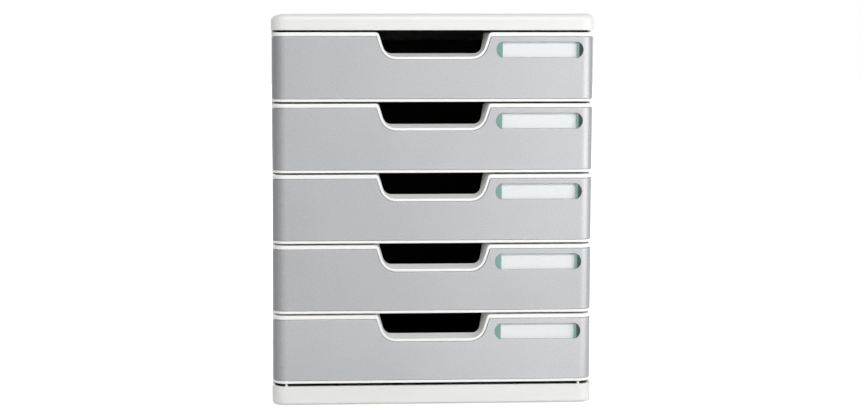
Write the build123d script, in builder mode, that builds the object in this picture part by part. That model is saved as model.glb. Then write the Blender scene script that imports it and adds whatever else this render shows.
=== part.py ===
from build123d import *
import math
import os

# A desktop drawer unit for A4 sheets: a white moulded casing, and drawers that each slide on runners.
# Millimetres. Z is up, the drawers open towards -Y, and the origin is on the floor below the middle of the casing.

# ---- casing shell ----
casing_width = 288.0
casing_depth = 339.0
front_corner_radius = 12.0
back_corner_radius = 8.0
shell_wall = 2.5
base_height = 16.2
base_edge_radius = 1.8
cover_height = 14.7
cover_edge_radius = 6.0
rib_thickness = 1.6
rib_height = 3.0
rib_spacing = 56.0
pip_radius = 1.1
pip_from_edge = 12.5

# ---- levels of the drawer fronts ----
drawer_count = 5
drawer_pitch = 63.1
front_gap = 1.7
base_gap = 2.4
cover_gap = 1.9

# ---- side and back panels ----
panel_inset = 0.6
panel_wall = 2.5
panel_seam = 0.2
back_return = 10.5
tab_width = 22.0
tab_thickness = 2.2
tab_reach = 7.0
tab_root = 8.0
tab_fit = 0.15
side_tab_spacing = 110.0
back_tab_spacing = 90.0

# ---- feet and base screws ----
foot_radius = 9.0
foot_stand = 1.2
foot_seat = 1.8
foot_fit = 0.1
foot_from_edge = 25.0
foot_edge_radius = 0.5
screw_spacing = 190.0
screw_shank_radius = 1.6
screw_shank_length = 12.0
screw_head_radius = 3.4
screw_head_height = 2.2
screw_slot_width = 0.9
screw_slot_depth = 1.1
screw_fit = 0.05
head_fit = 0.4
boss_radius = 4.0
boss_pad = 2.4
boss_from_panel = 3.5
boss_web = 3.0
boss_tray_gap = 1.0

# ---- drawer front ----
front_inset = 0.6
front_depth = 20.0
frame_wall = 2.0
frame_flange = 2.2
top_rim = 3.5
bottom_rim = 2.5
rim_step = 0.5
rim_edge_radius = 0.45
fascia_thickness = 1.8
fascia_fit = 0.05
fascia_groove = 0.25
fascia_return = 18.0
fascia_edge_radius = 0.4

# ---- finger cut-out ----
handle_width = 99.3
handle_drop = 21.8
handle_lean = 18.0
handle_radius = 13.0
handle_corner_radius = 3.5
handle_rim = 2.2
lip_slope = 12.0
lip_depth = 15.0
throat_depth = 28.0
throat_wall = 2.2
throat_narrowing = 2.2
throat_radius = 3.0

# ---- label ----
label_from_side = 10.8
label_from_handle = 5.8
label_from_top = 15.4
label_height = 14.4
label_end_bulge = 5.0
lens_recess = 0.45
lens_fit = 0.1
lens_flange = 1.2
lens_flange_thickness = 0.6
card_end_gap = 6.0
card_edge_gap = 0.4
card_thickness = 0.3
card_fit = 0.05
push_slot_width = 3.8

# ---- tray ----
tray_wall = 1.8
tray_corner_radius = 6.0
tray_edge_radius = 3.0
tray_lift = 0.2
tray_rim_drop = 9.0
tray_back_gap = 4.4
tray_notch_fit = 0.8
runner_flange = 5.6
runner_flange_thickness = 1.8
floor_bead_height = 0.7
floor_bead_width = 3.0
floor_bead_spacing = 60.0
peg_radius = 3.0
peg_fit = 0.05
peg_stand = 1.2
peg_span = 236.0
peg_low = 11.0
peg_rise = 21.0

# ---- runners and stops ----
runner_side_gap = 0.9
runner_play = 0.4
ledge_thickness = 2.0
ledge_tip_gap = 0.8
guide_thickness = 1.6
guide_width = 4.5
panel_front_gap = 1.5
stop_drop = 4.0
stop_thickness = 3.0
stop_gap = 0.4
stop_lug_gap = 2.0
drawer_travel = 265.0

# ---- places worked out from the sizes above ----
front_face = -casing_depth / 2
back_face = casing_depth / 2
base_underside = foot_stand
base_floor_top = base_underside + shell_wall
base_top = base_underside + base_height
lowest_front = base_top + base_gap
front_height = drawer_pitch - front_gap
cover_bottom = lowest_front + drawer_count * drawer_pitch - front_gap + cover_gap
cover_top = cover_bottom + cover_height

panel_outer = casing_width / 2 - panel_inset
panel_inner = panel_outer - panel_wall
panel_front = front_face + front_depth + panel_front_gap
back_panel_front = back_face - back_return
panel_back = back_panel_front - panel_seam
skirt_inner = casing_width / 2 - shell_wall

frame_inset = front_inset + rim_step
recess_inset = front_inset + fascia_thickness + fascia_fit
pocket_inset = recess_inset + frame_wall

tray_half_width = panel_inner - runner_side_gap - runner_flange
tray_front = front_face + pocket_inset
tray_back = back_face - panel_inset - panel_wall - tray_back_gap
tray_bottom = frame_flange + tray_lift
tray_top = front_height - tray_rim_drop
flange_bottom = tray_top - runner_flange_thickness
flange_front = front_face + front_depth + panel_front_gap / 2
ledge_top = flange_bottom - runner_play
ledge_bottom = ledge_top - ledge_thickness
ledge_width = panel_inner - tray_half_width - ledge_tip_gap
stop_lug_front = panel_front + stop_thickness + drawer_travel + stop_gap

label_left = handle_width / 2 + label_from_handle
label_right = casing_width / 2 - label_from_side
label_width = label_right - label_left
label_x = (label_left + label_right) / 2
label_z = front_height - label_from_top
card_width = label_width - 2 * card_end_gap
card_height = label_height - 2 * card_edge_gap
card_seat = recess_inset + lens_flange_thickness + card_thickness + card_fit


def drawer_level(number):
    """Height of the underside of a drawer's front, counted from the top drawer, number 1."""
    return lowest_front + (drawer_count - number) * drawer_pitch


# ---- outlines shared by the pieces ----
def outline(inset, height=0):
    """Plan outline of the casing at a height, drawn in all round by an inset."""
    with BuildSketch(Plane.XY.offset(height)) as plan:
        Rectangle(casing_width - 2 * inset, casing_depth - 2 * inset)
        fillet(plan.vertices().group_by(Axis.Y)[0], front_corner_radius - inset)
        fillet(plan.vertices().group_by(Axis.Y)[-1], back_corner_radius - inset)
    return plan.sketch


def plan_between(height, outer_inset, front, back):
    """The part of the plan outline that lies between two depths, at a height."""
    with BuildSketch(Plane.XY.offset(height)) as plan:
        add(outline(outer_inset))
        with Locations((0, (front + back) / 2)):
            Rectangle(casing_width, back - front, mode=Mode.INTERSECT)
    return plan.sketch


def wall_between(height, outer_inset, inner_inset, front, back):
    """A wall that follows the plan outline between two insets, cut off at two depths."""
    with BuildSketch(Plane.XY.offset(height)) as plan:
        add(outline(outer_inset))
        add(outline(inner_inset), mode=Mode.SUBTRACT)
        with Locations((0, (front + back) / 2)):
            Rectangle(casing_width, back - front, mode=Mode.INTERSECT)
    return plan.sketch


def elevation(depth):
    """Upright plane at a depth behind the front of the casing, looking out at the front."""
    return Plane.XZ.offset(-(front_face + depth))


def handle_half_width(depth):
    """Half the width of the finger cut-out at the top edge of the front, at a depth."""
    return handle_width / 2 - throat_narrowing * depth / throat_depth


def handle_profile(depth, margin):
    """Outline of the finger cut-out at a depth, let out by a margin. Its sides lean and its floor slopes.

    The lower corners grow sharper with the depth.
    """
    lean = math.tan(math.radians(handle_lean))
    spread = margin / math.cos(math.radians(handle_lean))
    floor = front_height - handle_drop + depth * math.tan(math.radians(lip_slope)) - margin
    ceiling = front_height + handle_radius
    top_half = handle_half_width(depth) + spread + (ceiling - front_height) * lean
    floor_half = handle_half_width(depth) + spread - (front_height - floor) * lean
    radius = handle_radius - (handle_radius - throat_radius) * depth / throat_depth
    with BuildSketch(elevation(depth)) as profile:
        with BuildLine():
            Polyline((-top_half, ceiling), (-floor_half, floor), (floor_half, floor), (top_half, ceiling), close=True)
        make_face()
        fillet(profile.vertices().group_by(Axis.Y)[0], radius + margin)
    return profile.sketch


def handle_plug(front, back, margin):
    """Solid that fills the finger cut-out between two depths."""
    with BuildPart() as plug:
        loft([handle_profile(front, margin), handle_profile(back, margin)], ruled=True)
    return plug.part


def corner_waste(depth):
    """What rounding takes off the right top corner of the cut-out, at a depth."""
    radius = handle_corner_radius
    lean = math.radians(handle_lean)
    tangent = radius / math.tan(math.radians(90 + handle_lean) / 2)
    corner = Vector(handle_half_width(depth), front_height)
    centre = corner + Vector(tangent, -radius)
    on_top = corner + Vector(tangent, 0)
    on_side = corner - Vector(math.sin(lean), math.cos(lean)) * tangent
    middle = centre + (corner - centre).normalized() * radius
    with BuildSketch(elevation(depth)) as waste:
        with BuildLine():
            Polyline(on_top, corner, on_side)
            ThreePointArc(on_side, middle, on_top)
        make_face()
    return waste.sketch


def label_outline(plane, grow):
    """Long oval of the label window with flattened round ends, let out by a given amount."""
    half = label_width / 2 + grow
    rise = label_height / 2 + grow
    shoulder = half - label_end_bulge
    left = label_x - shoulder
    right = label_x + shoulder
    with BuildSketch(plane) as window:
        with BuildLine():
            Line((left, label_z + rise), (right, label_z + rise))
            ThreePointArc((right, label_z + rise), (label_x + half, label_z), (right, label_z - rise))
            Line((right, label_z - rise), (left, label_z - rise))
            ThreePointArc((left, label_z - rise), (label_x - half, label_z), (left, label_z + rise))
        make_face()
    return window.sketch


def peg_circles(plane, radius):
    """Circles of the four pegs that hold the tray to the front."""
    with BuildSketch(plane) as pegs:
        with Locations((0, peg_low + peg_rise / 2)):
            with GridLocations(peg_span, peg_rise, 2, 2):
                Circle(radius)
    return pegs.sketch


def inset_of(point):
    """How far a point near the front lies inside the casing's plan outline."""
    across = max(abs(point.X) - (casing_width / 2 - front_corner_radius), 0)
    along = max(front_face + front_corner_radius - point.Y, 0)
    return front_corner_radius - math.hypot(across, along)


def surface_edges(piece, inset):
    """Edges of a front piece that lie on its outer surface, without the upright ones."""
    tolerance = 0.01
    found = ShapeList()
    for edge in piece.edges():
        points = [edge.position_at(share) for share in (0, 0.3, 0.7, 1)]
        lies_on = all(abs(inset_of(point) - inset) < tolerance for point in points)
        upright = abs(points[0].X - points[-1].X) + abs(points[0].Y - points[-1].Y) < tolerance
        if lies_on and not upright:
            found.append(edge)
    return found


# ---- casing pieces ----
def stiffening_ribs(height):
    """Crossed ribs inside the base or the cover, drawn at a height."""
    across = int((casing_depth - rib_spacing) // rib_spacing)
    along = int((casing_width - rib_spacing) // rib_spacing)
    with BuildSketch(Plane.XY.offset(height)) as ribs:
        with GridLocations(0, rib_spacing, 1, across):
            Rectangle(casing_width - 2 * shell_wall, rib_thickness)
        with GridLocations(rib_spacing, 0, along, 1):
            Rectangle(rib_thickness, casing_depth - 2 * shell_wall)
    return ribs.sketch


def foot_places(height):
    """Centres of the feet at a height."""
    return [
        (x, y, height)
        for x in (foot_from_edge - casing_width / 2, casing_width / 2 - foot_from_edge)
        for y in (front_face + foot_from_edge, back_face - foot_from_edge)
    ]


def screw_places(height):
    """Centres of the base screws at a height."""
    return [
        (x, y, height)
        for x in (boss_from_panel - panel_inner, panel_inner - boss_from_panel)
        for y in (-screw_spacing / 2, screw_spacing / 2)
    ]


def make_base():
    """Open tray with a floor, a skirt, seats for the feet and counterbored pads for the screws."""
    counterbore_depth = screw_head_height + head_fit
    pad_top = base_underside + counterbore_depth + boss_pad
    with BuildPart() as base:
        extrude(outline(0, base_underside), amount=base_height)
        fillet(base.faces().sort_by(Axis.Z)[0].edges(), base_edge_radius)
        extrude(outline(shell_wall, base_floor_top), amount=base_height, mode=Mode.SUBTRACT)
        extrude(stiffening_ribs(base_floor_top), amount=rib_height)
        with Locations(*foot_places(base_underside + foot_seat)):
            Cylinder(foot_radius + shell_wall, shell_wall, align=(Align.CENTER, Align.CENTER, Align.MIN))
        with Locations(*screw_places(base_underside + base_edge_radius)):
            Cylinder(
                screw_head_radius + head_fit + shell_wall / 2,
                pad_top - base_underside - base_edge_radius,
                align=(Align.CENTER, Align.CENTER, Align.MIN),
            )
        with Locations(*foot_places(base_underside)):
            Cylinder(
                foot_radius + foot_fit,
                foot_seat,
                align=(Align.CENTER, Align.CENTER, Align.MIN),
                mode=Mode.SUBTRACT,
            )
        with Locations(*[Location(place, (180, 0, 0)) for place in screw_places(base_underside)]):
            CounterBoreHole(
                screw_shank_radius + head_fit, screw_head_radius + head_fit, counterbore_depth, pad_top
            )
        with BuildSketch(Plane.XY.offset(base_top)):
            with Locations((0, front_face + shell_wall / 2)):
                with GridLocations(casing_width - 2 * pip_from_edge, 0, 2, 1):
                    Circle(pip_radius)
        extrude(amount=base_gap - runner_play)
    return base


def make_cover():
    """Cap with a soft top edge, hollow from below and stiffened by crossed ribs."""
    with BuildPart() as hollow:
        extrude(outline(shell_wall, cover_bottom), amount=cover_height - shell_wall)
        fillet(hollow.faces().sort_by(Axis.Z)[-1].edges(), cover_edge_radius - shell_wall)
    with BuildPart() as cover:
        extrude(outline(0, cover_bottom), amount=cover_height)
        fillet(cover.faces().sort_by(Axis.Z)[-1].edges(), cover_edge_radius)
        add(hollow.part, mode=Mode.SUBTRACT)
        extrude(stiffening_ribs(cover_top - shell_wall - rib_height), amount=rib_height)
    return cover


def make_right_side_panel():
    """Flat wall with a ledge, a guide and a stop tab for each drawer, tabs top and bottom, and two screw bosses."""
    middle = (panel_front + panel_back) / 2
    length = panel_back - panel_front
    tab_outer = skirt_inner - tab_fit
    pad_top = base_underside + screw_head_height + head_fit + boss_pad
    boss_top = lowest_front + tray_bottom - boss_tray_gap
    with BuildPart() as panel:
        with BuildSketch(Plane.XY.offset(base_top)):
            with Locations(((panel_inner + panel_outer) / 2, middle)):
                Rectangle(panel_wall, length)
        extrude(amount=cover_bottom - base_top)
        for number in range(1, drawer_count + 1):
            level = drawer_level(number)
            with BuildSketch(Plane.XY.offset(level + ledge_bottom)):
                with Locations((panel_inner - ledge_width / 2, middle)):
                    Rectangle(ledge_width, length)
            extrude(amount=ledge_thickness)
            with BuildSketch(Plane.XY.offset(level + tray_top + runner_play)):
                with Locations((panel_inner - guide_width / 2, middle)):
                    Rectangle(guide_width, length)
            extrude(amount=guide_thickness)
            with BuildSketch(Plane.XY.offset(level + ledge_bottom - stop_drop)):
                with Locations((panel_inner - guide_width / 2, panel_front + stop_thickness / 2)):
                    Rectangle(guide_width, stop_thickness)
            extrude(amount=stop_drop)
        for foot in (base_top - tab_reach, cover_bottom - tab_root):
            with BuildSketch(Plane.XY.offset(foot)):
                with Locations((tab_outer - tab_thickness / 2, middle)):
                    with GridLocations(0, side_tab_spacing, 1, 3):
                        Rectangle(tab_thickness, tab_width)
            extrude(amount=tab_reach + tab_root)
        with Locations(*[place for place in screw_places(pad_top) if place[0] > 0]):
            Cylinder(boss_radius, boss_top - pad_top, align=(Align.CENTER, Align.CENTER, Align.MIN))
            Box(
                boss_from_panel + tab_fit,
                boss_web,
                boss_top - pad_top,
                align=(Align.MIN, Align.CENTER, Align.MIN),
            )
        with Locations(*[place for place in screw_places(boss_top) if place[0] > 0]):
            Hole(screw_shank_radius + screw_fit, boss_top - pad_top)
    return panel


def make_back_panel():
    """Flat wall with rounded returns that meet the side panels, and tabs top and bottom."""
    with BuildPart() as panel:
        wall = wall_between(base_top, panel_inset, panel_inset + panel_wall, back_panel_front, back_face)
        extrude(wall, amount=cover_bottom - base_top)
        for foot in (base_top - tab_reach, cover_bottom - tab_root):
            with BuildSketch(Plane.XY.offset(foot)):
                with Locations((0, back_face - shell_wall - tab_fit - tab_thickness / 2)):
                    with GridLocations(back_tab_spacing, 0, 3, 1):
                        Rectangle(tab_width, tab_thickness)
            extrude(amount=tab_reach + tab_root)
    return panel


def make_feet():
    """Rubber discs let into the underside of the base."""
    with BuildPart() as feet:
        with Locations(*foot_places(0)):
            Cylinder(foot_radius, foot_stand + foot_seat, align=(Align.CENTER, Align.CENTER, Align.MIN))
        fillet(feet.faces().group_by(Axis.Z)[0].edges(), foot_edge_radius)
    return feet


def make_screws():
    """Pan-head screws that enter the side panels' bosses from below."""
    seat = base_underside + screw_head_height + head_fit
    with BuildPart() as screws:
        with Locations(*screw_places(seat - screw_head_height)):
            Cylinder(screw_head_radius, screw_head_height, align=(Align.CENTER, Align.CENTER, Align.MIN))
            Cylinder(
                screw_shank_radius,
                screw_head_height + screw_shank_length,
                align=(Align.CENTER, Align.CENTER, Align.MIN),
            )
        fillet(screws.faces().group_by(Axis.Z)[0].edges(), foot_edge_radius)
        with Locations(*screw_places(seat - screw_head_height)):
            for length, width in ((screw_head_radius, screw_slot_width), (screw_slot_width, screw_head_radius)):
                Box(
                    length,
                    width,
                    screw_slot_depth,
                    align=(Align.CENTER, Align.CENTER, Align.MIN),
                    mode=Mode.SUBTRACT,
                )
    return screws


# ---- drawer pieces, made with the underside of the front at height 0 ----
def make_throat():
    """Lip and side walls of the finger cut-out, level with the top and raked back from the lip to the top."""
    lip_back = front_height - handle_drop + lip_depth * math.tan(math.radians(lip_slope))
    beyond = front_face + throat_depth + throat_wall
    with BuildPart() as throat:
        add(handle_plug(frame_inset, throat_depth + throat_wall, throat_wall))
        split(bisect_by=Plane.XY.offset(front_height), keep=Keep.BOTTOM)
        with BuildSketch(Plane.YZ):
            Polygon(
                (front_face + lip_depth, 0),
                (beyond, 0),
                (beyond, front_height + throat_wall),
                (front_face + throat_depth, front_height + throat_wall),
                (front_face + throat_depth, front_height),
                (front_face + lip_depth, lip_back),
                align=None,
            )
        extrude(amount=casing_width / 2, both=True, mode=Mode.SUBTRACT)
    return throat.part


def front_skin(outer_inset, inner_inset, bottom, top, handle_margin, end):
    """Skin that wraps round the front and both its corners, cut out round the finger cut-out."""
    with BuildPart() as skin:
        extrude(wall_between(bottom, outer_inset, inner_inset, front_face, end), amount=top - bottom)
        extrude(handle_profile(0, handle_margin), amount=-front_depth, mode=Mode.SUBTRACT)
    return skin.part


def make_front_frame():
    """White moulding: rims, corners and flanges, with the finger cut-out, the fascia's recess and the label's seat."""
    throat = make_throat()
    opening = handle_plug(0, throat_depth + throat_wall, 0)
    with BuildPart() as waste:
        loft([corner_waste(0), corner_waste(throat_depth)], ruled=True)
        mirror(about=Plane.YZ)
    recess = front_skin(
        0, recess_inset, bottom_rim, front_height - top_rim, handle_rim, front_face + fascia_return
    )
    with BuildPart() as frame:
        block = plan_between(0, frame_inset, front_face, front_face + front_depth)
        extrude(block, amount=front_height)
        hollow = plan_between(frame_flange, pocket_inset, front_face, front_face + front_depth)
        extrude(hollow, amount=front_height - 2 * frame_flange, mode=Mode.SUBTRACT)
        add(throat)
        add(opening, mode=Mode.SUBTRACT)
        add(waste.part, mode=Mode.SUBTRACT)
        add(recess, mode=Mode.SUBTRACT)
        seat = label_outline(elevation(front_inset), lens_flange + lens_fit)
        extrude(seat, amount=front_inset - card_seat, mode=Mode.SUBTRACT)
        with BuildSketch(elevation(front_inset)):
            add(label_outline(Plane.XY, -lens_fit))
            with Locations((label_x + label_width / 2 - push_slot_width, label_z)):
                Rectangle(label_width, label_height, align=(Align.MAX, Align.CENTER), mode=Mode.SUBTRACT)
        extrude(amount=-pocket_inset, mode=Mode.SUBTRACT)
        extrude(peg_circles(elevation(pocket_inset), peg_radius), amount=-(tray_wall + peg_stand))
        fillet(surface_edges(frame, frame_inset), rim_edge_radius)
    return frame


def make_fascia():
    """Grey satin skin that lies in the front's recess and wraps round both corners."""
    with BuildPart() as fascia:
        add(
            front_skin(
                front_inset,
                front_inset + fascia_thickness,
                bottom_rim + fascia_groove,
                front_height - top_rim - fascia_groove,
                handle_rim + fascia_groove,
                front_face + fascia_return - fascia_groove,
            )
        )
        fillet(surface_edges(fascia, front_inset), fascia_edge_radius)
        extrude(label_outline(elevation(0), 0), amount=-front_depth, mode=Mode.SUBTRACT)
    return fascia


def make_label_lens():
    """Clear window that fills the fascia's oval. A thin flange behind the fascia ends where the corner bends."""
    with BuildPart() as lens:
        window = label_outline(elevation(recess_inset), -lens_fit)
        extrude(window, amount=recess_inset - front_inset - lens_recess)
        with BuildSketch(elevation(recess_inset)):
            add(label_outline(Plane.XY, lens_flange))
            with Locations((casing_width / 2 - front_corner_radius, label_z)):
                Rectangle(casing_width, front_height, align=(Align.MAX, Align.CENTER), mode=Mode.INTERSECT)
        extrude(amount=-lens_flange_thickness)
    return lens


def make_label_card():
    """Paper card that lies in the front frame, a little behind the window."""
    with BuildPart() as card:
        with BuildSketch(elevation(recess_inset + lens_flange_thickness + card_fit)):
            with Locations((label_x, label_z)):
                Rectangle(card_width, card_height)
        extrude(amount=-card_thickness)
    return card


def make_tray():
    """Open tray with runner flanges, stop lugs, floor beads, a notch for the cut-out and holes for the pegs."""
    length = tray_back - tray_front
    middle = (tray_front + tray_back) / 2
    wall_middle = tray_half_width - tray_wall / 2
    flange_back = tray_back - tray_corner_radius
    lug_width = panel_inner - stop_lug_gap - wall_middle
    with BuildPart() as tray:
        with BuildSketch(Plane.XY.offset(tray_bottom)) as plan:
            with Locations((0, middle)):
                Rectangle(2 * tray_half_width, length)
            fillet(plan.vertices(), tray_corner_radius)
        extrude(amount=tray_top - tray_bottom)
        fillet(tray.faces().sort_by(Axis.Z)[0].edges(), tray_edge_radius)
        offset(amount=-tray_wall, openings=tray.faces().sort_by(Axis.Z)[-1])
        with BuildSketch(Plane.XY.offset(flange_bottom)) as flange:
            with Locations((wall_middle, flange_front)):
                Rectangle(
                    runner_flange + tray_wall / 2, flange_back - flange_front, align=(Align.MIN, Align.MIN)
                )
            mirror(about=Plane.YZ)
        extrude(amount=runner_flange_thickness)
        with BuildSketch(Plane.XY.offset(ledge_bottom - stop_drop + runner_play)) as lugs:
            with Locations((wall_middle, stop_lug_front)):
                Rectangle(lug_width, stop_thickness, align=(Align.MIN, Align.MIN))
            mirror(about=Plane.YZ)
        extrude(amount=stop_drop - 2 * runner_play)
        with BuildSketch(Plane.XY.offset(tray_bottom + tray_wall)):
            with Locations((0, middle)):
                with GridLocations(floor_bead_spacing, 0, 3, 1):
                    Rectangle(floor_bead_width, length - floor_bead_spacing)
        extrude(amount=floor_bead_height)
        notch = handle_profile(pocket_inset, throat_wall + tray_notch_fit)
        extrude(notch, amount=-2 * tray_wall, mode=Mode.SUBTRACT)
        extrude(peg_circles(elevation(pocket_inset), peg_radius + peg_fit), amount=-2 * tray_wall, mode=Mode.SUBTRACT)
    return tray


# ---- assembly ----
def write_piece(piece, name):
    """Label a finished piece and write it."""
    piece.part.label = name
    export_step(piece.part, f"parts/{name}.step")


def at_level(piece, number):
    """Copy of a drawer piece at the level of a numbered drawer."""
    with BuildPart() as copy:
        with Locations((0, 0, drawer_level(number))):
            add(piece.part)
    return copy


os.makedirs("parts", exist_ok=True)

right_side_panel = make_right_side_panel()
with BuildPart() as left_side_panel:
    mirror(right_side_panel.part, about=Plane.YZ)

write_piece(make_base(), "base")
write_piece(make_cover(), "top_cover")
write_piece(right_side_panel, "right_side_panel")
write_piece(left_side_panel, "left_side_panel")
write_piece(make_back_panel(), "back_panel")
write_piece(make_feet(), "rubber_feet")
write_piece(make_screws(), "base_screws")

drawer_pieces = {
    "tray": make_tray(),
    "front_frame": make_front_frame(),
    "fascia": make_fascia(),
    "label_lens": make_label_lens(),
    "label_card": make_label_card(),
}
for drawer in range(1, drawer_count + 1):
    for piece_name, drawer_piece in drawer_pieces.items():
        write_piece(at_level(drawer_piece, drawer), f"{piece_name}_{drawer}")
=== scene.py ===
import bpy
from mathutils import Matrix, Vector


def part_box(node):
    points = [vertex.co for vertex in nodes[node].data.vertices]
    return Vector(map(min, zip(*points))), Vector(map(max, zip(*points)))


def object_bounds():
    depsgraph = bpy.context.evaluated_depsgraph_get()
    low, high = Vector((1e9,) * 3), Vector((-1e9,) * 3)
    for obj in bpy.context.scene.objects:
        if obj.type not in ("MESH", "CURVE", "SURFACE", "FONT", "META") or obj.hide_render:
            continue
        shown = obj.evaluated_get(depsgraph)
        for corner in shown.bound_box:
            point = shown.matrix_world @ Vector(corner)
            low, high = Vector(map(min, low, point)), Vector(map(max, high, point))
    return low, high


# A desktop drawer unit: a white moulded casing and five drawers with grey fronts that wrap round the corners.
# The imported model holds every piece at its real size. This file dresses the pieces one group after another,
# in the order in which the unit is put together, and then sets up the camera, the floor and the light.
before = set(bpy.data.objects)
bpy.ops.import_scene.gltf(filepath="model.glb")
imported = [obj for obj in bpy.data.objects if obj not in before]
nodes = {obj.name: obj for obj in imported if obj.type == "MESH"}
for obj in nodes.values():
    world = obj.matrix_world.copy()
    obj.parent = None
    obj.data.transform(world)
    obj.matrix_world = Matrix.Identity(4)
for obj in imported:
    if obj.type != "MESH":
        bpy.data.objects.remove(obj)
drawers = range(1, 6)
cad_low, cad_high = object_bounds()


# ---- Casing: base, side panels, back panel and cover ----
# Injection moulded in white styrene with a fine satin texture from the mould. The panels' tabs plug into the
# base and the cover. Handling rubs the mould texture off the edges first, so they are a little lighter.
white_colour = (0.770, 0.770, 0.755, 1)
white_shade = (0.742, 0.744, 0.728, 1)
white_edge = (0.830, 0.830, 0.818, 1)


def finish_node(finish, kind, **inputs):
    """Add one node to a finish and set its inputs by name."""
    node = finish.node_tree.nodes.new(kind)
    for name, value in inputs.items():
        node.inputs[name.replace("_", " ")].default_value = value
    return node


def new_finish(name):
    """Empty finish with its shader, and the place on the piece in metres that its textures go by."""
    finish = bpy.data.materials.new(name)
    finish.use_nodes = True
    shader = finish.node_tree.nodes["Principled BSDF"]
    place = finish_node(finish, "ShaderNodeTexCoord").outputs["Object"]
    return finish, finish.node_tree.links.new, shader, place


def cloudy(finish, place, scale, **inputs):
    """Uneven values over the piece, which lie for the most part between 0.3 and 0.7."""
    noise = finish_node(finish, "ShaderNodeTexNoise", Scale=scale, **inputs)
    finish.node_tree.links.new(place, noise.inputs["Vector"])
    return noise.outputs["Fac"]


def two_tones(finish, source, low, high, first, second):
    """Colours that run from one tone to another while the source runs from low to high."""
    ramp = finish_node(finish, "ShaderNodeValToRGB")
    ramp.color_ramp.elements[0].position = low
    ramp.color_ramp.elements[0].color = first
    ramp.color_ramp.elements[1].position = high
    ramp.color_ramp.elements[1].color = second
    finish.node_tree.links.new(source, ramp.inputs["Fac"])
    return ramp.outputs["Color"]


def rescaled(finish, source, low, high, new_low, new_high):
    """A value that runs from new_low to new_high while the source runs from low to high."""
    scale = finish_node(
        finish, "ShaderNodeMapRange", From_Min=low, From_Max=high, To_Min=new_low, To_Max=new_high
    )
    finish.node_tree.links.new(source, scale.inputs["Value"])
    return scale.outputs["Result"]


def uneven_gloss(finish, cloud, shader, smooth, rough):
    """Roughness of the piece's surface, which follows a cloudy value from smooth to rough."""
    finish.node_tree.links.new(rescaled(finish, cloud, 0.3, 0.7, smooth, rough), shader.inputs["Roughness"])


def fine_relief(finish, cloud, shader, strength, depth, normal=None):
    """Fine bumps that follow a cloudy value, at most depth metres high."""
    relief = finish_node(finish, "ShaderNodeBump", Strength=strength, Distance=depth)
    finish.node_tree.links.new(cloud, relief.inputs["Height"])
    if normal:
        finish.node_tree.links.new(normal, relief.inputs["Normal"])
    finish.node_tree.links.new(relief.outputs["Normal"], shader.inputs["Normal"])


def softened_edges(finish, radius):
    """Normal of the piece with its sharp edges rounded, and how strongly a point lies on such an edge."""
    link = finish.node_tree.links.new
    rounding = finish_node(finish, "ShaderNodeBevel", Radius=radius)
    rounding.samples = 6
    flat = finish_node(finish, "ShaderNodeNewGeometry").outputs["Normal"]
    facing = finish_node(finish, "ShaderNodeVectorMath")
    facing.operation = "DOT_PRODUCT"
    link(rounding.outputs["Normal"], facing.inputs[0])
    link(flat, facing.inputs[1])
    on_edge = rescaled(finish, facing.outputs["Value"], 1.0, 0.8, 0.0, 1.0)
    return rounding.outputs["Normal"], on_edge


def worn_through(finish, amount, body, bare):
    """Colour of the body, worn to the bare colour where the amount is 1."""
    first_colour, second_colour, mixed_colour = 6, 7, 2
    mix = finish_node(finish, "ShaderNodeMix")
    mix.data_type = "RGBA"
    finish.node_tree.links.new(amount, mix.inputs["Factor"])
    finish.node_tree.links.new(body, mix.inputs[first_colour])
    mix.inputs[second_colour].default_value = bare
    return mix.outputs[mixed_colour]


def moulded_plastic(name, colour, shade, edge, roughness, grain_pitch, grain_depth, edge_radius):
    """Moulded plastic: slow drift of colour, the fine texture of the mould, and edges worn by handling."""
    finish, link, shader, place = new_finish(name)
    drift = cloudy(finish, place, 9.0, Detail=3.0)
    grain = cloudy(finish, place, 1 / grain_pitch, Detail=2.0)
    rounded, on_edge = softened_edges(finish, edge_radius)
    body = two_tones(finish, drift, 0.35, 0.65, shade, colour)
    link(worn_through(finish, on_edge, body, edge), shader.inputs["Base Color"])
    uneven_gloss(finish, grain, shader, roughness - 0.05, roughness + 0.05)
    fine_relief(finish, grain, shader, 0.5, grain_depth, rounded)
    shader.inputs["IOR"].default_value = 1.5
    return finish


def dress(name, finish):
    """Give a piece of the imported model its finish."""
    slots = nodes[name].data.materials
    slots.clear()
    slots.append(finish)


white_moulding = moulded_plastic(
    "white_moulding",
    white_colour,
    white_shade,
    white_edge,
    roughness=0.42,
    grain_pitch=0.0009,
    grain_depth=0.00002,
    edge_radius=0.0005,
)
for name in ("base", "left_side_panel", "right_side_panel", "back_panel", "top_cover"):
    dress(name, white_moulding)


# ---- Feet and base screws ----
# Discs of black rubber pressed into round seats in the underside, and small zinc plated screws that hold the
# base to the side panels. Neither shows from the front.
rubber_dark = (0.018, 0.018, 0.018, 1)
rubber_light = (0.045, 0.044, 0.042, 1)
rubber, link, shader, place = new_finish("black_rubber")
speckle = cloudy(rubber, place, 1500.0, Detail=3.0)
link(two_tones(rubber, speckle, 0.4, 0.7, rubber_dark, rubber_light), shader.inputs["Base Color"])
uneven_gloss(rubber, speckle, shader, 0.7, 0.9)
dress("rubber_feet", rubber)

zinc_dark = (0.48, 0.47, 0.43, 1)
zinc_light = (0.62, 0.62, 0.60, 1)
zinc, link, shader, place = new_finish("zinc_plate")
plating = cloudy(zinc, place, 700.0, Detail=4.0)
link(two_tones(zinc, plating, 0.35, 0.7, zinc_dark, zinc_light), shader.inputs["Base Color"])
uneven_gloss(zinc, plating, shader, 0.28, 0.45)
shader.inputs["Metallic"].default_value = 1.0
dress("base_screws", zinc)


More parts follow.
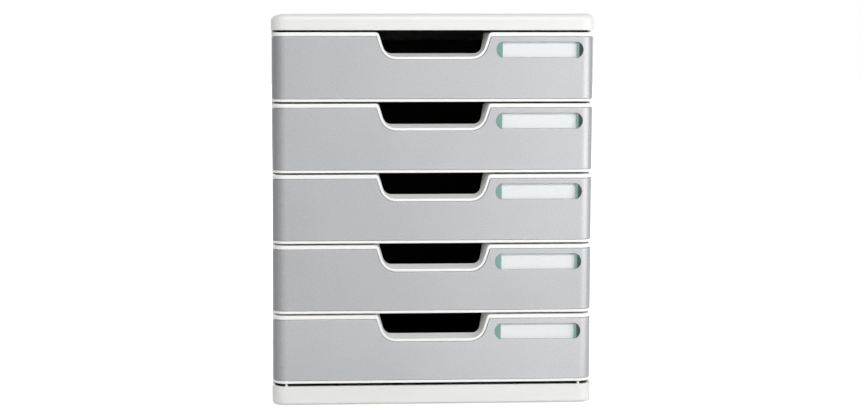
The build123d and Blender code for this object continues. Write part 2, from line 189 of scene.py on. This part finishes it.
# ---- Trays ----
# Open boxes moulded in near-black plastic. They are only seen through the finger cut-outs, or when a drawer
# is pulled out, where the duller mould texture keeps them dark.
tray_colour = (0.0075, 0.0062, 0.0060, 1)
tray_shade = (0.0055, 0.0045, 0.0045, 1)
tray_edge = (0.0180, 0.0160, 0.0150, 1)
dark_moulding = moulded_plastic(
    "dark_moulding",
    tray_colour,
    tray_shade,
    tray_edge,
    roughness=0.55,
    grain_pitch=0.0012,
    grain_depth=0.00003,
    edge_radius=0.0005,
)
for number in drawers:
    dress(f"tray_{number}", dark_moulding)


# ---- Front frames ----
# The white moulding of each front: rims, corners, and the finger cut-out with its sloping lip. It is the same
# kind of plastic as the casing, a little whiter, and smoother where fingers go.
front_colour = (0.875, 0.873, 0.866, 1)
front_shade = (0.852, 0.850, 0.842, 1)
front_edge = (0.910, 0.908, 0.902, 1)
front_moulding = moulded_plastic(
    "front_moulding",
    front_colour,
    front_shade,
    front_edge,
    roughness=0.36,
    grain_pitch=0.0008,
    grain_depth=0.000012,
    edge_radius=0.0006,
)
for number in drawers:
    dress(f"front_frame_{number}", front_moulding)


# ---- Fascia panels ----
# A grey satin skin let into each frame and wrapped round its corners, with fine metal flakes in the lacquer.
# The lacquer carries painted shade, following the photograph: darker to the left and most of all round the
# left corner, darker round the right corner too, and darker on the four upper fronts than on the lowest one.
lacquer_dark = (0.513, 0.519, 0.534, 1)
lacquer_light = (0.541, 0.545, 0.558, 1)
flake_dark = (0.84, 0.84, 0.84, 1)
flake_light = (1.0, 1.0, 1.0, 1)
lacquer_edge_colour = (0.66, 0.67, 0.68, 1)
# Painted shade: the lacquer is painted darker round the left and right corners, towards the left end, and on
# the four upper fronts.
left_corner_painted_shade = 0.56
right_corner_painted_shade = 0.72
painted_shade_corner_turn = 0.8
painted_shade_left_end, left_end_painted_shade = -0.15, 0.81
painted_shade_ends_at = 0.11
lowest_front_top = 0.0815
next_front_bottom = 0.0825
upper_fronts_painted_shade = 0.895


def toned_down(finish, colour, tone):
    """A colour multiplied by another colour or by a value."""
    first_colour, second_colour, mixed_colour = 6, 7, 2
    product = finish_node(finish, "ShaderNodeMix")
    product.data_type = "RGBA"
    product.blend_type = "MULTIPLY"
    product.inputs["Factor"].default_value = 1.0
    finish.node_tree.links.new(colour, product.inputs[first_colour])
    finish.node_tree.links.new(tone, product.inputs[second_colour])
    return product.outputs[mixed_colour]


def split_up(finish, source):
    """The X, Y and Z of a place or a direction."""
    parts = finish_node(finish, "ShaderNodeSeparateXYZ")
    finish.node_tree.links.new(source, parts.inputs["Vector"])
    return parts.outputs


lacquer, link, shader, place = new_finish("grey_satin_lacquer_and_painted_shade")
flakes = cloudy(lacquer, place, 900.0, Detail=3.0)
clouds = cloudy(lacquer, place, 14.0, Detail=4.0)
rounded, on_edge = softened_edges(lacquer, 0.0004)
turned = split_up(lacquer, finish_node(lacquer, "ShaderNodeTexCoord").outputs["Normal"])["X"]
across = split_up(lacquer, place)
tone = two_tones(lacquer, clouds, 0.3, 0.7, lacquer_dark, lacquer_light)
# The flakes, and painted shade round the corners, towards the left end and on the four upper fronts, multiply
# the lacquer's colour.
for layer in (
    two_tones(lacquer, flakes, 0.35, 0.68, flake_dark, flake_light),
    rescaled(lacquer, turned, 0.0, -painted_shade_corner_turn, 1.0, left_corner_painted_shade),
    rescaled(lacquer, turned, 0.0, painted_shade_corner_turn, 1.0, right_corner_painted_shade),
    rescaled(lacquer, across["X"], painted_shade_left_end, painted_shade_ends_at, left_end_painted_shade, 1.0),
    rescaled(lacquer, across["Z"], lowest_front_top, next_front_bottom, 1.0, upper_fronts_painted_shade),
):
    tone = toned_down(lacquer, tone, layer)
# Along its sharp edges the lacquer is mixed halfway to a lighter grey.
half_edge_lightening = rescaled(lacquer, on_edge, 0.0, 1.0, 0.0, 0.5)
link(worn_through(lacquer, half_edge_lightening, tone, lacquer_edge_colour), shader.inputs["Base Color"])
uneven_gloss(lacquer, flakes, shader, 0.40, 0.50)
fine_relief(lacquer, flakes, shader, 0.4, 0.00001, rounded)
shader.inputs["Metallic"].default_value = 0.5
for number in drawers:
    dress(f"fascia_{number}", lacquer)


# ---- Label cards ----
# Strips of uncoated white card, cut to slide behind the window. Nothing is printed on them.
card_dark = (0.74, 0.75, 0.76, 1)
card_light = (0.78, 0.79, 0.81, 1)
card_stock, link, shader, place = new_finish("label_card_stock")
fibres = cloudy(card_stock, place, 800.0, Detail=6.0, Distortion=0.6)
link(two_tones(card_stock, fibres, 0.3, 0.7, card_dark, card_light), shader.inputs["Base Color"])
uneven_gloss(card_stock, fibres, shader, 0.75, 0.9)
fine_relief(card_stock, fibres, shader, 0.3, 0.00002)
for number in drawers:
    dress(f"label_card_{number}", card_stock)


# ---- Label windows ----
# Long ovals of clear plastic with a green cast, which shows at both ends, past the white card; painted shade
# of the seat behind deepens that green. Over the card the window is polished and all but colourless. Its
# right end turns dark
# towards the slot behind it: painted shade of the slot, nearly opaque.
green_cast_and_shade = (0.20, 0.38, 0.35, 0.75)
over_card = (0.82, 0.92, 0.90, 0.03)
painted_slot_shade = (0.03, 0.05, 0.045, 0.80)
card_edge = 0.0006
green_strip = 0.0018
painted_slot_shade_from = 0.0030
window_low, window_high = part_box("label_lens_1")
card_low, card_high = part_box("label_card_1")
clear_window, link, shader, place = new_finish("clear_green_window_and_painted_shade")
along = finish_node(clear_window, "ShaderNodeValToRGB")
across = split_up(clear_window, place)["X"]
link(rescaled(clear_window, across, window_low.x, window_high.x, 0.0, 1.0), along.inputs["Fac"])


def along_window(x):
    """How far a place in metres lies along the window, from 0 at its left end to 1 at its right end."""
    return (x - window_low.x) / (window_high.x - window_low.x)


# Painted shade: the green past the card's ends is deepened, and the right end is painted dark over the slot.
tint = along.color_ramp.elements
tint[0].position, tint[0].color = along_window(card_low.x - card_edge), green_cast_and_shade
tint[1].position, tint[1].color = along_window(card_low.x), over_card
for x, colour in (
    (card_high.x, over_card),
    (card_high.x + card_edge, green_cast_and_shade),
    (card_high.x + green_strip, green_cast_and_shade),
    (card_high.x + painted_slot_shade_from, painted_slot_shade),
):
    tint.new(along_window(x)).color = colour
link(along.outputs["Color"], shader.inputs["Base Color"])
link(along.outputs["Alpha"], shader.inputs["Alpha"])
uneven_gloss(clear_window, cloudy(clear_window, place, 260.0, Detail=2.0), shader, 0.04, 0.10)
shader.inputs["IOR"].default_value = 1.49
for number in drawers:
    dress(f"label_lens_{number}", clear_window)


# ---- Camera ----
# It stands to the left of the middle, about as high as the top drawer, and looks a little down and to the
# right.
front_y = cad_low.y
camera_distance = 1.5
camera_data = bpy.data.cameras.new("camera")
camera = bpy.data.objects.new("camera", camera_data)
bpy.context.scene.collection.objects.link(camera)
camera.location = (-0.140, front_y - camera_distance, 0.335)
camera_data.lens = 71.1
camera_data.shift_x = 0.08
camera_data.shift_y = -0.03
looks_at = Vector((-0.0645, front_y, 0.2037))
camera.rotation_mode = "QUATERNION"
camera.rotation_quaternion = (looks_at - camera.location).to_track_quat("-Z", "Y")
bpy.context.scene.camera = camera


# ---- Floor ----
# A plain pale floor. It is white where it is lit, keeps the unit's shadow, and fades to pure white further
# out.
reach = 9.0
near_unit, near_glow = 0.2, 0.5
far_out, far_glow = 0.8, 1.0
floor_mesh = bpy.data.meshes.new("floor")
floor_mesh.from_pydata(
    [(-reach, -reach, 0), (reach, -reach, 0), (reach, reach, 0), (-reach, reach, 0)], [], [(0, 1, 2, 3)]
)
floor = bpy.data.objects.new("floor", floor_mesh)
bpy.context.scene.collection.objects.link(floor)

floor_finish, link, shader, place = new_finish("pale_floor")
shader.inputs["Base Color"].default_value = (0.80, 0.80, 0.80, 1)
shader.inputs["Roughness"].default_value = 0.9
shader.inputs["Specular IOR Level"].default_value = 0.1
distance = finish_node(floor_finish, "ShaderNodeVectorMath")
distance.operation = "LENGTH"
link(place, distance.inputs[0])


def seen(tree):
    """1 for rays from the camera and for their mirror and see-through continuations, otherwise 0."""
    rays = tree.nodes.new("ShaderNodeLightPath").outputs
    kept = rays["Is Camera Ray"]
    for kind in ("Is Glossy Ray", "Is Transmission Ray"):
        either = tree.nodes.new("ShaderNodeMath")
        either.operation = "MAXIMUM"
        tree.links.new(kept, either.inputs[0])
        tree.links.new(rays[kind], either.inputs[1])
        kept = either.outputs["Value"]
    return kept


glow = finish_node(floor_finish, "ShaderNodeMath")
glow.operation = "MULTIPLY"
link(
    rescaled(floor_finish, distance.outputs["Value"], near_unit, far_out, near_glow, far_glow), glow.inputs[0]
)
link(seen(floor_finish.node_tree), glow.inputs[1])
shader.inputs["Emission Color"].default_value = (1, 1, 1, 1)
link(glow.outputs["Value"], shader.inputs["Emission Strength"])
floor_mesh.materials.append(floor_finish)


# ---- Light ----
# A soft lamp close to the right front, a large one high in front that reaches the lips of the cut-outs, one
# behind that lights the back and the top, and an even pale sky that shows as pure white behind the unit.
front_middle = Vector((0, front_y, 0.17))


def soft_lamp(name, width, height, energy, place):
    """Rectangular lamp that faces the middle of the unit's front."""
    lamp_data = bpy.data.lights.new(name, "AREA")
    lamp_data.shape = "RECTANGLE"
    lamp_data.size = width
    lamp_data.size_y = height
    lamp_data.energy = energy
    lamp = bpy.data.objects.new(name, lamp_data)
    bpy.context.scene.collection.objects.link(lamp)
    lamp.location = place
    lamp.rotation_mode = "QUATERNION"
    lamp.rotation_quaternion = (front_middle - lamp.location).to_track_quat("-Z", "Y")


soft_lamp("side_lamp", width=0.8, height=0.5, energy=5.0, place=(0.95, -0.75, 0.24))
soft_lamp("top_lamp", width=1.6, height=1.2, energy=86.0, place=(-0.05, -3.20, 2.60))
soft_lamp("back_lamp", width=1.6, height=1.2, energy=52.0, place=(-0.90, 2.60, 1.50))

world = bpy.data.worlds.new("pale_sky")
bpy.context.scene.world = world
world.use_nodes = True
sky = world.node_tree
ambient = sky.nodes["Background"]
ambient.inputs["Color"].default_value = (1, 1, 1, 1)
ambient.inputs["Strength"].default_value = 0.24
backdrop = sky.nodes.new("ShaderNodeBackground")
backdrop.inputs["Color"].default_value = (1, 1, 1, 1)
backdrop.inputs["Strength"].default_value = 1.0
choice = sky.nodes.new("ShaderNodeMixShader")
sky.links.new(seen(sky), choice.inputs["Fac"])
sky.links.new(ambient.outputs["Background"], choice.inputs[1])
sky.links.new(backdrop.outputs["Background"], choice.inputs[2])
sky.links.new(choice.outputs["Shader"], sky.nodes["World Output"].inputs["Surface"])

bpy.context.scene.view_settings.view_transform = "Standard"
